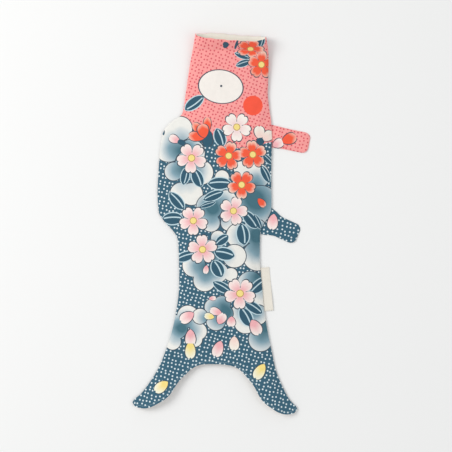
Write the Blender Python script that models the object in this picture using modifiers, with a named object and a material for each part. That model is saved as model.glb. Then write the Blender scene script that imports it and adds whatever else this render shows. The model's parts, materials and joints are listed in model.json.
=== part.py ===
"""Carp streamer: a windsock fish sewn from two cotton panels, lying on a table with its mouth held open by a hoop.

Lengths are in millimetres until a mesh is made. +Y runs from the tail to the mouth, +X to the belly, +Z up from
the table. Places across the body are counted from the body line, and the finished model is centred at the end.
The panels are single cloths. They are cut into sections at the bend lines so that the body can wave.
"""

import math

import bmesh
import bpy
from mathutils import Vector

MM = 0.001

# Lengths along the body, from the mouth down
HEAD_LENGTH = 107.5  # rim to nape, where the dorsal hump starts
HUMP_LENGTH = 166.5
STEM_LENGTH = 126.0
FORK_LENGTH = 37.0  # end of the stem to the top of the tail's arch
LOBE_LENGTH = 63.0

# Half widths, from the body line
RIM_HALF = 47.5
NAPE_HALF = 59.3
HUMP_HALF = 88.0
STEM_HALF = 54.0
BELLY_HALF = 63.5
WAIST_HALF = 50.4
TAIL_ROOT_HALF = 75.0
TAIL_TIP_HALF = 109.4
LOBE_TOE_HALF = 95.5

# Cloth and thread
PLY = 0.5
CLEAR = 0.3
SEAM_THREAD = 0.6
SEAM_HALF = PLY + CLEAR + SEAM_THREAD / 2  # middle of the seam to a panel's outer face
FIN_PLY = 0.4
FIN_THREAD = 0.3
SEAM_INSET = 1.4  # panel edge to the middle of the thread
SEAM_ROOM = 1.0  # what runs round inside the mouth passes this much further in, clear of the seams

# Mouth
CASING_DEPTH = 22.0
RIM_SLANT = 0.046  # how far the rim falls towards the belly, for each millimetre across
RIM_DIP = 11.0  # how far the upper edge of the mouth hangs back
MOUTH_HEIGHT = 27.0
RIM_SEAM_LIFT = 11.5
SECTION_POWER = 2.4  # 2 is an ellipse, more is boxier
WIRE = 1.0
SLEEVE_WALL = 0.3
SLEEVE_LENGTH = 14.0
WIRE_END_GAP = 1.0
TAPE_PLY = 0.4
TAPE_BACK = 2.5  # casing stitch to the tape's inner edge
RIM_MARGIN = 1.0  # rim to the tape's outer edge

# Loft of the upper panel over the seam, where the body lies flat
TRUNK_LOFT = 2.2
TAIL_LOFT = 1.5
LOBE_LOFT = 0.8

# Fins: places on the belly edge, then the flap
PECTORAL_TOP = 133.0
PECTORAL_BOTTOM = 103.0
PECTORAL_LENGTH = 51.0
PECTORAL_WIDTH = 27.5
PECTORAL_DROOP = -9.0
PELVIC_TOP = 22.5
PELVIC_BOTTOM = -12.0
PELVIC_LENGTH = 47.0
PELVIC_WIDTH = 27.0
PELVIC_DROOP = -22.0
FIN_CORNER = 7.5
FIN_FLARE = 16.0  # how far out the flap keeps narrowing
ROOT_GAP = 0.9  # panel edge to the flap, so that it can turn square to the body

# Label
LABEL_TOP = -57.5
LABEL_LENGTH = 57.0
LABEL_WIDTH = 12.0
LABEL_PLY = 0.3
LABEL_GAP = 0.4

# Bends
BEND_LIMIT = 60.0
BEND_CLEAR = 0.15
SHOULDER_BEND = 147.0
TAIL_BEND = -38.0

RIM_Y = (HEAD_LENGTH + HUMP_LENGTH + STEM_LENGTH + FORK_LENGTH + LOBE_LENGTH) / 2
CASING_Y = RIM_Y - CASING_DEPTH
NAPE_Y = RIM_Y - HEAD_LENGTH
HUMP_END_Y = NAPE_Y - HUMP_LENGTH
STEM_END_Y = HUMP_END_Y - STEM_LENGTH
ARCH_Y = STEM_END_Y - FORK_LENGTH
TOE_Y = ARCH_Y - LOBE_LENGTH

# Each edge as (place along the body, distance from the body line), from the toe of the tail up
TAIL_EDGE = [
    (TOE_Y, LOBE_TOE_HALF),
    (TOE_Y + 1.6, TAIL_TIP_HALF - 6.2),
    (TOE_Y + 4.0, TAIL_TIP_HALF - 1.6),
    (TOE_Y + 7.5, TAIL_TIP_HALF),
    (TOE_Y + 19.0, TAIL_TIP_HALF - 10.6),
]
DORSAL_EDGE = TAIL_EDGE + [
    (ARCH_Y - 24.0, TAIL_ROOT_HALF + 10.0),
    (ARCH_Y - 3.5, TAIL_ROOT_HALF - 0.4),
    (STEM_END_Y - 20.0, TAIL_ROOT_HALF - 7.5),
    (STEM_END_Y, STEM_HALF + 8.0),
    (STEM_END_Y + STEM_LENGTH * 0.16, STEM_HALF + 4.0),
    (STEM_END_Y + STEM_LENGTH * 0.48, STEM_HALF),
    (HUMP_END_Y - 16.0, STEM_HALF + 2.5),
    (HUMP_END_Y, STEM_HALF + 4.5),
    (HUMP_END_Y + 7.0, HUMP_HALF - 26.0),
    (HUMP_END_Y + 25.0, HUMP_HALF - 9.0),
    (HUMP_END_Y + 35.0, HUMP_HALF - 2.8),
    (HUMP_END_Y + HUMP_LENGTH * 0.4, HUMP_HALF),
    (NAPE_Y - HUMP_LENGTH * 0.34, HUMP_HALF - 0.8),
    (NAPE_Y - 30.0, HUMP_HALF - 3.2),
    (NAPE_Y - 18.5, HUMP_HALF - 8.0),
    (NAPE_Y - 9.0, NAPE_HALF + 11.1),
    (NAPE_Y, NAPE_HALF),
    (NAPE_Y + HEAD_LENGTH * 0.2, NAPE_HALF - 2.8),
    (CASING_Y - 25.0, RIM_HALF + 5.5),
    (CASING_Y, RIM_HALF),
    (RIM_Y, RIM_HALF),
]
BELLY_EDGE = TAIL_EDGE + [
    (ARCH_Y - 32.0, TAIL_ROOT_HALF + 16.4),
    (ARCH_Y - 4.0, TAIL_ROOT_HALF + 3.4),
    (STEM_END_Y - 20.0, TAIL_ROOT_HALF - 2.0),
    (STEM_END_Y + 10.0, WAIST_HALF + 15.1),
    (STEM_END_Y + STEM_LENGTH * 0.3, WAIST_HALF + 9.4),
    (STEM_END_Y + STEM_LENGTH * 0.55, WAIST_HALF + 5.4),
    (HUMP_END_Y - 21.0, WAIST_HALF + 0.9),
    (PELVIC_BOTTOM, WAIST_HALF),
    (PELVIC_TOP, BELLY_HALF + 0.4),
    (PELVIC_TOP + 30.0, BELLY_HALF - 1.0),
    (PECTORAL_BOTTOM - 26.0, BELLY_HALF - 2.0),
    (PECTORAL_BOTTOM, BELLY_HALF - 2.5),
    (PECTORAL_TOP, NAPE_HALF),
    (NAPE_Y + 14.0, NAPE_HALF - 4.2),
    (NAPE_Y + 35.0, RIM_HALF + 5.0),
    (CASING_Y - 32.0, RIM_HALF + 5.0),
    (CASING_Y, RIM_HALF + 3.7),
    (RIM_Y, RIM_HALF),
]
ARCH_EDGE = [
    (TOE_Y, LOBE_TOE_HALF),
    (TOE_Y + 1.6, LOBE_TOE_HALF - 10.2),
    (TOE_Y + 6.9, LOBE_TOE_HALF - 20.2),
    (TOE_Y + 14.3, LOBE_TOE_HALF - 30.9),
    (ARCH_Y - 39.8, 57.3),
    (ARCH_Y - 31.7, 52.8),
    (ARCH_Y - 22.0, 46.2),
    (ARCH_Y - 13.2, 37.9),
    (ARCH_Y - 6.6, 31.2),
    (ARCH_Y - 1.4, 19.6),
    (ARCH_Y, 1.0),
]
# Height of the upper panel's crest over the seam, and of the seam over the table
CREST = [
    (TOE_Y, LOBE_LOFT),
    (ARCH_Y, LOBE_LOFT),
    (STEM_END_Y, TAIL_LOFT),
    (HUMP_END_Y, TRUNK_LOFT),
    (NAPE_Y, TRUNK_LOFT + 0.5),
    (CASING_Y - 30.0, TRUNK_LOFT + 1.8),
    (CASING_Y, TRUNK_LOFT + 3.5),
    (RIM_Y, MOUTH_HEIGHT - RIM_SEAM_LIFT - 2 * SEAM_HALF),
]
SEAM_LIFT = [
    (NAPE_Y, 0.0),
    (CASING_Y - 30.0, 2.4),
    (CASING_Y, 6.0),
    (RIM_Y, RIM_SEAM_LIFT),
]

FLAT_SHARE = 1.12  # over 1, the lower panel lies flat on the table across its middle
PANEL_COLUMNS = 10
LOBE_COLUMNS = 5
ROW_STEP = 8.5
LOBE_ROW_STEP = 6.0
THREAD_STEP = 13.0

COLOURS = {
    "coral_print": ((0.93, 0.42, 0.42), 0.85, 0.0),
    "blue_print": ((0.09, 0.2, 0.3), 0.85, 0.0),
    "ivory_tape": ((0.86, 0.82, 0.74), 0.9, 0.0),
    "spring_wire": ((0.62, 0.62, 0.64), 0.3, 1.0),
    "crimp_brass": ((0.75, 0.6, 0.35), 0.35, 1.0),
    "sewing_thread": ((0.85, 0.84, 0.8), 0.7, 0.0),
}


def smooth(stations, place):
    """The value at a place along hand-set stations, on a cubic that never overshoots them."""
    if place <= stations[0][0]:
        return stations[0][1]
    if place >= stations[-1][0]:
        return stations[-1][1]
    steps = [b[0] - a[0] for a, b in zip(stations, stations[1:])]
    rates = [(b[1] - a[1]) / h for (a, b), h in zip(zip(stations, stations[1:]), steps)]
    i = max(k for k in range(len(steps)) if stations[k][0] <= place)

    def slope(k):
        if k == 0 or k == len(steps):
            return rates[min(k, len(rates) - 1)]
        before, after = rates[k - 1], rates[k]
        if before * after <= 0:
            return 0.0
        return 2 * before * after / (before + after)

    t = (place - stations[i][0]) / steps[i]
    start, end = stations[i][1], stations[i + 1][1]
    bend_in, bend_out = slope(i) * steps[i], slope(i + 1) * steps[i]
    return (
        (2 * t**3 - 3 * t**2 + 1) * start
        + (t**3 - 2 * t**2 + t) * bend_in
        + (3 * t**2 - 2 * t**3) * end
        + (t**3 - t**2) * bend_out
    )


def dorsal(y):
    return -smooth(DORSAL_EDGE, y)


def belly(y):
    return smooth(BELLY_EDGE, y)


def seam_middle(y):
    """Height of the seam's middle over the table."""
    return SEAM_HALF + smooth(SEAM_LIFT, y)


def bulge(across):
    """From 0 at the seams to 1 on the body line, round at the sides as a flattened tube is."""
    return (1 - min(1.0, abs(across)) ** SECTION_POWER) ** (1 / SECTION_POWER)


def rim_share(y):
    """From 0 below the casing stitch to 1 at the rim."""
    return max(0.0, (y - CASING_Y) / CASING_DEPTH)


def on_section(y, left, right, across, upper, inset=0.0):
    """A point of the body's section at y, with across from -1 to 1, on the upper or lower panel's outer face."""
    middle, half = (left + right) / 2, (right - left) / 2 - inset - (SEAM_ROOM if inset else 0.0)
    x = middle + across * half
    share = rim_share(y)
    slanted = y - RIM_SLANT * x * share
    if upper:
        height = SEAM_HALF + smooth(CREST, y) - inset
        lift = SEAM_HALF if inset == 0 else 0.0
        z = seam_middle(y) + lift + (height - lift) * bulge(across)
        return Vector((x, slanted - RIM_DIP * bulge(across) * share, z))
    flat = min(1.0, FLAT_SHARE * bulge(across))
    depth = smooth(SEAM_LIFT, y) + SEAM_HALF - inset
    lift = SEAM_HALF if inset == 0 else 0.0
    return Vector((x, slanted, seam_middle(y) - lift - (depth - lift) * flat))


def collection(name):
    made = bpy.data.collections.new(name)
    bpy.context.scene.collection.children.link(made)
    return made


def material(name, finish_name):
    made = bpy.data.materials.new(name)
    made.use_nodes = True
    colour, roughness, metallic = COLOURS[finish_name]
    shader = made.node_tree.nodes["Principled BSDF"]
    shader.inputs["Base Color"].default_value = (*colour, 1.0)
    shader.inputs["Roughness"].default_value = roughness
    shader.inputs["Metallic"].default_value = metallic
    return made


def finish(name, data, finish_name, body):
    """Links an object for mesh or curve data given in the model's own place, and parents it to its body."""
    made = bpy.data.objects.new(name, data)
    bpy.data.collections["carp_streamer"].objects.link(made)
    data.materials.append(material(name, finish_name))
    made.parent = body
    made.matrix_parent_inverse = body.matrix_world.inverted()
    return made


def solidified(made, thickness, offset):
    shell = made.modifiers.new("ply", "SOLIDIFY")
    shell.thickness = thickness * MM
    shell.offset = offset
    shell.use_even_offset = True
    return made


def shaped_grid(columns, rows, place):
    """A grid whose vertices are put at place(u, v), with u and v from -1 to 1."""
    mesh = bmesh.new()
    bmesh.ops.create_grid(mesh, x_segments=columns, y_segments=rows, size=1.0)
    for vertex in mesh.verts:
        vertex.co = place(vertex.co.x, vertex.co.y) * MM
    return mesh


def as_mesh(name, mesh):
    data = bpy.data.meshes.new(name)
    bmesh.ops.recalc_face_normals(mesh, faces=mesh.faces)
    mesh.to_mesh(data)
    mesh.free()
    data.shade_smooth()
    return data


def body_empty(name, place, direction=(1, 0, 0), parent=None):
    """An empty on a joint's axis, with its X along that axis. Everything that moves with it hangs from it."""
    made = bpy.data.objects.new(name, None)
    bpy.data.collections["carp_streamer"].objects.link(made)
    made.rotation_euler.z = math.atan2(direction[1], direction[0])
    made.location = Vector(place) * MM
    if parent:
        bpy.context.view_layer.update()
        made.parent = parent
        made.matrix_parent_inverse = parent.matrix_world.inverted()
    bpy.context.view_layer.update()
    return made


def set_back(bend, point):
    """How far a panel stays off a bend line, so that two sections can fold to the limit without touching."""
    height = abs(point.z - seam_middle(bend))
    return BEND_CLEAR + height * math.tan(math.radians(BEND_LIMIT / 2))


def panel_section(name, finish_name, body, low, high, upper, bends, edges, lobe=False):
    """A stretch of a panel between two places along the body. Ends on a bend line are mitred for the fold."""
    left, right = edges
    columns = LOBE_COLUMNS if lobe else PANEL_COLUMNS
    rows = round((high - low) / (LOBE_ROW_STEP if lobe else ROW_STEP))

    def place(u, v):
        along = math.sin(v * math.pi / 2) if lobe else v
        y = low + (high - low) * (along + 1) / 2
        across = math.sin(u * math.pi / 2)
        point = on_section(y, left(y), right(y), across, upper)
        if v in (-1, 1) and y in bends:
            point.y -= v * set_back(y, point)
        return point

    mesh = shaped_grid(columns, rows, place)
    data = as_mesh(name, mesh)
    outward = 1 if upper else -1
    if data.polygons[len(data.polygons) // 2].normal.z * outward < 0:
        data.flip_normals()
    return solidified(finish(name, data, finish_name, body), PLY, -1)


def thread(name, points, radius, finish_name, body, closed=False):
    curve = bpy.data.curves.new(name, "CURVE")
    curve.dimensions = "3D"
    curve.bevel_depth = radius * MM
    curve.bevel_resolution = 1
    curve.use_fill_caps = not closed
    spline = curve.splines.new("POLY")
    spline.points.add(len(points) - 1)
    for knot, point in zip(spline.points, points):
        knot.co = (*(point * MM), 1.0)
    spline.use_cyclic_u = closed
    return finish(name, curve, finish_name, body)


def seam_thread(name, body, edge, inward, low, high, bends):
    """The sewing line just inside one edge of the panels, between two places along the body."""
    radius = SEAM_THREAD / 2
    end_gap = BEND_CLEAR + radius * math.tan(math.radians(BEND_LIMIT / 2))
    start = low + (end_gap if low in bends else 0.0)
    stop = high - (end_gap if high in bends else 0.0)
    count = max(3, round((stop - start) / THREAD_STEP))
    points = []
    for k in range(count + 1):
        y = start + (stop - start) * k / count
        x = edge(y) + inward * SEAM_INSET
        points.append(Vector((x, y - RIM_SLANT * x * rim_share(y), seam_middle(y))))
    return thread(name, points, radius, "sewing_thread", body)


def section_ring(y, inset, count):
    """Points round the body's section at y, a set distance inside its outer faces, starting under the body line."""
    points = []
    for k in range(count):
        turn = -math.pi / 2 + 2 * math.pi * k / count
        points.append(on_section(y, dorsal(y), belly(y), math.cos(turn), math.sin(turn) > 0, inset))
    return points


def mouth_hoop(body):
    """A spring wire bent round inside the casing. Its two ends meet in a crimped sleeve under the body line."""
    inset = PLY + CLEAR + WIRE / 2 + CLEAR + SLEEVE_WALL
    y = (RIM_Y + CASING_Y) / 2
    ring = section_ring(y, inset, 56)
    across = [(p.x - ring[0].x) for p in ring]
    straight = SLEEVE_LENGTH / 2 + WIRE
    kept = [p for p, x in zip(ring, across) if abs(x) > straight or p.z > seam_middle(y)]
    middle = ring[0]
    along = Vector((1, -RIM_SLANT * rim_share(y), 0)).normalized()
    ends = [middle + along * sign * d for sign, d in ((1, WIRE_END_GAP / 2), (1, straight))]
    others = [middle + along * sign * d for sign, d in ((-1, straight), (-1, WIRE_END_GAP / 2))]
    wire = thread("mouth_hoop", ends + kept + others, WIRE / 2, "spring_wire", body)

    mesh = bmesh.new()
    bmesh.ops.create_cone(
        mesh,
        cap_ends=False,
        segments=12,
        radius1=(WIRE / 2 + CLEAR) * MM,
        radius2=(WIRE / 2 + CLEAR) * MM,
        depth=SLEEVE_LENGTH * MM,
    )
    turn = along.to_track_quat("Z", "Y").to_matrix().to_4x4()
    bmesh.ops.transform(mesh, matrix=turn, verts=mesh.verts)
    bmesh.ops.translate(mesh, vec=middle * MM, verts=mesh.verts)
    sleeve = finish("hoop_sleeve", as_mesh("hoop_sleeve", mesh), "crimp_brass", body)
    solidified(sleeve, SLEEVE_WALL, 1)
    return wire, sleeve


def casing_tape(body):
    """The ivory tape that faces the inside of the mouth and holds the hoop against the panels."""
    inset = PLY + 3 * CLEAR + WIRE + 2 * SLEEVE_WALL + CLEAR
    low, high = CASING_Y - TAPE_BACK, RIM_Y - RIM_MARGIN

    def place(u, v):
        y = low + (high - low) * (v + 1) / 2
        turn = math.pi * u - math.pi / 2
        return on_section(y, dorsal(y), belly(y), math.cos(turn), math.sin(turn) > 0, inset)

    mesh = shaped_grid(32, 3, place)
    bmesh.ops.remove_doubles(mesh, verts=mesh.verts, dist=0.05 * MM)
    made = finish("casing_tape", as_mesh("casing_tape", mesh), "ivory_tape", body)
    return solidified(made, TAPE_PLY, -1)


def casing_stitch(body):
    ring = section_ring(CASING_Y, PLY + CLEAR + SEAM_THREAD / 2 + CLEAR, 40)
    return thread("casing_stitch", ring, SEAM_THREAD / 2, "sewing_thread", body, closed=True)


def root_line(top, bottom):
    """A straight line just outside the belly edge, which may swell between the two places, and its directions."""
    high, low = Vector((belly(top), top)), Vector((belly(bottom), bottom))
    along = (high - low).normalized()
    out = Vector((along.y, -along.x))
    edge = [low.lerp(high, k / 8).y for k in range(9)]
    swell = max((Vector((belly(y), y)) - low).dot(out) for y in edge)
    shift = out * (ROOT_GAP + max(0.0, swell))
    return high + shift, low + shift, along, out


def fin_outline(top, bottom, length, width, droop):
    """The flap's outline from the foot of its root round to the top: it narrows, then ends in two round corners."""
    root_top, root_bottom, along_root, out = root_line(top, bottom)
    aim = Vector((math.cos(math.radians(droop)), math.sin(math.radians(droop))))
    side = Vector((-aim.y, aim.x))
    middle = (root_top + root_bottom) / 2
    points = [root_bottom]
    for sign in (-1, 1):
        flare = middle + aim * FIN_FLARE + side * sign * width / 2
        centre = middle + aim * (length - FIN_CORNER) + side * sign * (width / 2 - FIN_CORNER)
        arc = []
        for k in range(5):
            turn = math.radians(90 * k / 4)
            arc.append(centre + (side * sign * math.cos(turn) + aim * math.sin(turn)) * FIN_CORNER)
        points += [flare] + arc if sign < 0 else arc[::-1] + [flare]
    points.append(root_top)
    return points, along_root


def flat_outline(name, points, low, high, finish_name, body):
    """A flat cloth of this outline between two heights."""
    curve = bpy.data.curves.new(name, "CURVE")
    curve.dimensions = "2D"
    curve.fill_mode = "BOTH"
    curve.extrude = (high - low) / 2 * MM
    spline = curve.splines.new("POLY")
    spline.points.add(len(points) - 1)
    for knot, point in zip(spline.points, points):
        knot.co = (point.x * MM, point.y * MM, 0.0, 1.0)
    spline.use_cyclic_u = True
    made = finish(name, curve, finish_name, body)
    made.matrix_parent_inverse = body.matrix_world.inverted()
    made.location.z = (low + high) / 2 * MM
    return made


def fin(name, top, bottom, length, width, droop, finish_name, trunk):
    """A flap of two plies sewn round its edge, turned about the line where it leaves the belly seam."""
    outline, along_root = fin_outline(top, bottom, length, width, droop)
    thick = 2 * FIN_PLY + 2 * CLEAR + FIN_THREAD
    hinge = (outline[0] + outline[-1]) / 2
    body = body_empty(name, (hinge.x, hinge.y, thick / 2), along_root, trunk)
    flat_outline(name + "_back_ply", outline, 0.0, FIN_PLY, finish_name, body)
    flat_outline(name + "_front_ply", outline, thick - FIN_PLY, thick, finish_name, body)
    centre = sum(outline, Vector((0, 0))) / len(outline)
    inner = [p + (centre - p).normalized() * SEAM_INSET for p in outline[1:-1]]
    line = [Vector((p.x, p.y, thick / 2)) for p in inner]
    thread(name + "_seam", line, FIN_THREAD / 2, "sewing_thread", body)
    return body


def side_label(tail):
    """A blank woven tape folded in half, with both ends in the belly seam and the fold outwards."""
    root_top, start, along, out = root_line(LABEL_TOP, LABEL_TOP - LABEL_LENGTH)
    thick = 2 * LABEL_PLY + LABEL_GAP
    hinge = start + along * LABEL_LENGTH / 2
    body = body_empty("side_label_body", (hinge.x, hinge.y, thick / 2), along, tail)
    radius = (LABEL_GAP + LABEL_PLY) / 2
    reach = LABEL_WIDTH - radius
    turns = [math.radians(-90 + 180 * k / 4) for k in range(5)]
    fold = [Vector((reach + radius * math.cos(t), radius * math.sin(t))) for t in turns]
    profile = [Vector((0, -radius))] + fold + [Vector((0, radius))]

    def place(u, v):
        step = profile[round((v + 1) / 2 * (len(profile) - 1))]
        flat = start + along * LABEL_LENGTH * (u + 1) / 2 + out * step.x
        return Vector((flat.x, flat.y, thick / 2 + step.y))

    mesh = shaped_grid(1, len(profile) - 1, place)
    made = finish("side_label", as_mesh("side_label", mesh), "ivory_tape", body)
    solidified(made, LABEL_PLY, 0)
    return body


def centred(root):
    """Moves the whole model so that its bounding box stands on the origin."""
    bpy.context.view_layer.update()
    graph = bpy.context.evaluated_depsgraph_get()
    points = []
    for made in bpy.data.collections["carp_streamer"].objects:
        if made.type != "EMPTY":
            evaluated = made.evaluated_get(graph)
            points += [evaluated.matrix_world @ v.co for v in evaluated.to_mesh().vertices]
            evaluated.to_mesh_clear()
    low = Vector([min(p[k] for p in points) for k in range(3)])
    high = Vector([max(p[k] for p in points) for k in range(3)])
    root.location = Vector((-(low.x + high.x) / 2, -(low.y + high.y) / 2, -low.z))


def main():
    for old in list(bpy.data.objects):
        bpy.data.objects.remove(old)
    collection("carp_streamer")
    sides = (dorsal, belly)
    bends = (SHOULDER_BEND, TAIL_BEND, ARCH_Y)

    head = body_empty("head", (0, 0, 0))
    trunk = body_empty("trunk", (0, SHOULDER_BEND, seam_middle(SHOULDER_BEND)), parent=head)
    tail = body_empty("tail", (0, TAIL_BEND, seam_middle(TAIL_BEND)), parent=trunk)

    stretches = [
        ("head", head, SHOULDER_BEND, RIM_Y, "coral_print"),
        ("trunk", trunk, TAIL_BEND, SHOULDER_BEND, "blue_print"),
        ("tail", tail, ARCH_Y, TAIL_BEND, "blue_print"),
    ]
    for name, body, low, high, print_name in stretches:
        panel_section(f"front_panel_{name}", print_name, body, low, high, True, bends, sides)
        panel_section(f"back_panel_{name}", print_name, body, low, high, False, bends, sides)
        seam_thread(f"dorsal_seam_{name}", body, dorsal, 1, low, high - rim_gap(high), bends)
        seam_thread(f"belly_seam_{name}", body, belly, -1, low, high - rim_gap(high), bends)

    lobes = [
        ("dorsal_lobe", (dorsal, lambda y: -smooth(ARCH_EDGE, y)), dorsal, 1),
        ("belly_lobe", (lambda y: smooth(ARCH_EDGE, y), belly), belly, -1),
    ]
    for name, edges, outer, inward in lobes:
        body = body_empty(name, (inward * -45.0, ARCH_Y, seam_middle(ARCH_Y)), parent=tail)
        for upper, side in ((True, "front"), (False, "back")):
            panel_name = f"{side}_panel_{name}"
            panel_section(panel_name, "blue_print", body, TOE_Y + 0.8, ARCH_Y, upper, bends, edges, True)
        seam_thread(f"{name}_seam", body, outer, inward, TOE_Y + 7.5, ARCH_Y, bends)

    mouth_hoop(head)
    casing_tape(head)
    casing_stitch(head)
    fin(
        "pectoral_fin",
        PECTORAL_TOP,
        PECTORAL_BOTTOM,
        PECTORAL_LENGTH,
        PECTORAL_WIDTH,
        PECTORAL_DROOP,
        "coral_print",
        trunk,
    )
    fin(
        "pelvic_fin",
        PELVIC_TOP,
        PELVIC_BOTTOM,
        PELVIC_LENGTH,
        PELVIC_WIDTH,
        PELVIC_DROOP,
        "blue_print",
        trunk,
    )
    side_label(tail)
    centred(head)


def rim_gap(high):
    """The sewing stops just short of the rim."""
    return RIM_MARGIN if high == RIM_Y else 0.0


main()
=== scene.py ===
"""The looks of a carp streamer: printed cotton panels, mouth casing, fins, label and the table it lies on.

Places in the print and the pattern are in millimetres in the model's frame: +Y to the mouth, +X to the belly.
"""

import json
import math

import bmesh
import bpy
import numpy as np
from bpy.props import FloatProperty, FloatVectorProperty, IntProperty, PointerProperty
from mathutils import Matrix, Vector


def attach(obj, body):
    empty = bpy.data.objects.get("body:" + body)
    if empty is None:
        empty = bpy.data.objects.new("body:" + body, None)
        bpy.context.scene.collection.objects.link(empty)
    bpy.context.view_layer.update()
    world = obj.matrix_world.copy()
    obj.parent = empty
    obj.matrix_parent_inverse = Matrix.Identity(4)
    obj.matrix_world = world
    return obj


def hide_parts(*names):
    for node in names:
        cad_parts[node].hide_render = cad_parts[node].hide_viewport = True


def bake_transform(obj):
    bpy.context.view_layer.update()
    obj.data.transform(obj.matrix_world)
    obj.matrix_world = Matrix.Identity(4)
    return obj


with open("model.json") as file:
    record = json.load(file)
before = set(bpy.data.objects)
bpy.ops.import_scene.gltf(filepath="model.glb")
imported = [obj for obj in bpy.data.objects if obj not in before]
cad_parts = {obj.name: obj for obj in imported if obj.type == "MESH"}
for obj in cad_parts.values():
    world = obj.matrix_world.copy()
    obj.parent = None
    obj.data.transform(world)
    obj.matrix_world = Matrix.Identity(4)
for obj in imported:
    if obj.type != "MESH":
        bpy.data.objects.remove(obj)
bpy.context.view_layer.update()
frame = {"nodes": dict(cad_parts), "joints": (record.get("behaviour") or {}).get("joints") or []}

bl_info = {
    "name": "Carp Streamer",
    "version": (1, 0, 0),
    "blender": (4, 5, 0),
    "location": "3D View > Sidebar > Streamer",
    "description": "Sews a printed carp streamer on its frame and lays it on a table",
    "category": "Object",
}

MM = 0.001


def joint(name):
    return next(j for j in frame["joints"] if j["name"] == name)


# The pattern is drawn from the body line, with the shoulder bend at 147 mm. The model stands a little off it.
SHOULDER = 147.0
OFFSET = Vector(joint("shoulder_bend")["pos_m"]) / MM - Vector((0, SHOULDER, 0))
HINGE_Y = {name: joint(name)["pos_m"][1] for name in ("tail_bend", "dorsal_lobe_bend")}
SEAM_HALF = joint("dorsal_lobe_bend")["pos_m"][2] / MM

# Along the body: the mouth's rim, the casing's seam, the end of the stem and the tail's tips
RIM, CASING, STEM_END, TOE = 250.0, 228.0, -150.0, -250.0
FIN_PLY, LABEL_PLY, TAPE_PLY = 0.25, 0.22, 0.4
TABLE_GAP = 0.02  # how close the cloth comes to the table
TAPE_INSET = 4.2  # the facing lies this far inside the mouth's outer face, past the hoop

TAIL_TIP = [(TOE, 95.5), (TOE + 1.6, 103.2), (TOE + 4.0, 107.8), (TOE + 7.5, 109.4), (TOE + 19.0, 98.8)]
DORSAL_EDGE = TAIL_TIP + [
    (-211.0, 85.0), (-190.5, 74.6), (-170.0, 67.5), (-150.0, 62.0), (-130.0, 58.0), (-89.5, 54.0),
    (-40.0, 56.5), (-24.0, 58.5), (-17.0, 62.0), (1.0, 79.0), (11.0, 85.2), (42.6, 88.0), (86.0, 87.2),
    (112.5, 84.8), (124.0, 80.0), (133.5, 70.4), (142.5, 59.3), (164.0, 56.5), (203.0, 52.4),
    (228.0, 49.0), (250.0, 46.3),
]  # fmt: skip
BELLY_EDGE = TAIL_TIP + [
    (-219.0, 91.4), (-191.0, 78.4), (-170.0, 73.0), (-140.0, 65.5), (-112.2, 59.8), (-80.7, 55.8),
    (-45.0, 51.3), (-12.0, 50.4), (22.5, 63.9), (52.5, 62.5), (77.0, 61.5), (103.0, 61.0), (133.0, 59.3),
    (156.5, 55.1), (177.5, 52.5), (196.0, 52.5), (228.0, 51.2), (250.0, 47.5),
]  # fmt: skip
ARCH_POINTS = [
    (95.5, -250.0), (85.3, -248.4), (75.3, -243.1), (64.6, -235.7), (57.3, -226.8), (52.8, -218.7),
    (46.2, -209.0), (37.9, -200.2), (31.2, -193.6), (19.6, -188.4), (0.0, -187.0),
]  # fmt: skip
SEAM_LIFT = [(142.5, 0.0), (198.0, 2.4), (228.0, 6.0), (250.0, 11.5)]
CREST = [
    (-250.0, 0.8), (-187.0, 0.8), (-150.0, 1.5), (-24.0, 2.2), (142.5, 2.7), (198.0, 4.0), (228.0, 5.7),
    (250.0, 13.3),
]  # fmt: skip
RIM_SLANT, RIM_DIP, CORNER_DIP, SECTION_POWER, FLAT_SHARE = 0.046, 11.0, 4.6, 2.4, 1.12


def smooth(stations, place):
    """The value at a place along listed stations, on a cubic that never overshoots them."""
    if place <= stations[0][0]:
        return stations[0][1]
    if place >= stations[-1][0]:
        return stations[-1][1]
    steps = [b[0] - a[0] for a, b in zip(stations, stations[1:])]
    rates = [(b[1] - a[1]) / h for (a, b), h in zip(zip(stations, stations[1:]), steps)]
    i = max(k for k in range(len(steps)) if stations[k][0] <= place)

    def slope(k):
        if k == 0 or k == len(steps):
            return rates[min(k, len(rates) - 1)]
        before, after = rates[k - 1], rates[k]
        return 2 * before * after / (before + after) if before * after > 0 else 0.0

    t = (place - stations[i][0]) / steps[i]
    start, end = stations[i][1], stations[i + 1][1]
    rise = (2 * t**3 - 3 * t**2 + 1) * start + (3 * t**2 - 2 * t**3) * end
    return rise + ((t**3 - 2 * t**2 + t) * slope(i) + (t**3 - t**2) * slope(i + 1)) * steps[i]


def dorsal(y):
    return -smooth(DORSAL_EDGE, y)


def belly(y):
    return smooth(BELLY_EDGE, y)


def bulge(across):
    return (1 - min(1.0, abs(across)) ** SECTION_POWER) ** (1 / SECTION_POWER)


def section_point(y, across, upper, inset=0.0):
    """A point of the body's section at y on the upper or lower panel, with across from -1 to 1."""
    left, right = dorsal(y), belly(y)
    x = (left + right) / 2 + across * ((right - left) / 2 - inset)
    share = max(0.0, (y - CASING) / (RIM - CASING))
    slanted = y - (RIM_SLANT * x + CORNER_DIP * max(0.0, -across) ** 3) * share
    lift = smooth(SEAM_LIFT, y)
    if upper:
        height = max(0.2, SEAM_HALF + smooth(CREST, y) - inset) * bulge(across)
        return Vector((x, slanted - RIM_DIP * bulge(across) * share, SEAM_HALF + lift + height)) + OFFSET
    flat = min(1.0, FLAT_SHARE * bulge(across))
    return Vector((x, slanted, SEAM_HALF + lift - (lift + SEAM_HALF - inset) * flat)) + OFFSET


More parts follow.
